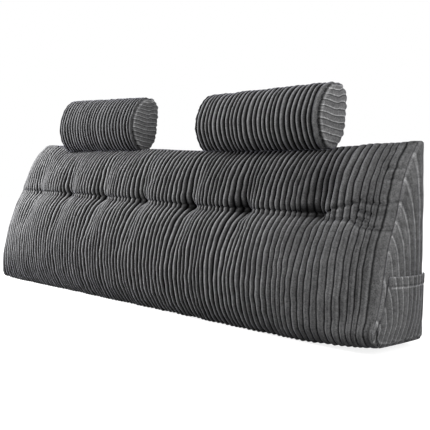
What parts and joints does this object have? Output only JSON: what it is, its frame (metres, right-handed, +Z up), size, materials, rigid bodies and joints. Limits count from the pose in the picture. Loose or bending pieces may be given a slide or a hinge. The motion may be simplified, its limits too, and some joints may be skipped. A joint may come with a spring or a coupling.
{
  "type": "headboard wedge pillow",
  "caption": "Long wedge back pillow in wide-wale corduroy with a tufted crease, side pocket and bolster headrests on the ridge",
  "frame": {"origin": "on the floor, under the middle of the part's box", "axes": "+X along the pillow towards the end with the pocket, +Y towards the flat back, +Z up"},
  "size_m": [1.8382, 0.2378, 0.6858],
  "materials": {
    "corduroy": "matte wide-wale corduroy pile"
  },
  "bodies": {
    "root": {"wedge": "corduroy", "side_panel_left": "corduroy", "side_panel_right": "corduroy", "side_pocket_right": "corduroy", "bolster_left": "corduroy", "bolster_left_cap_left": "corduroy", "bolster_left_cap_right": "corduroy", "bolster_right": "corduroy", "bolster_right_cap_left": "corduroy", "bolster_right_cap_right": "corduroy"}
  },
  "joints": []
}
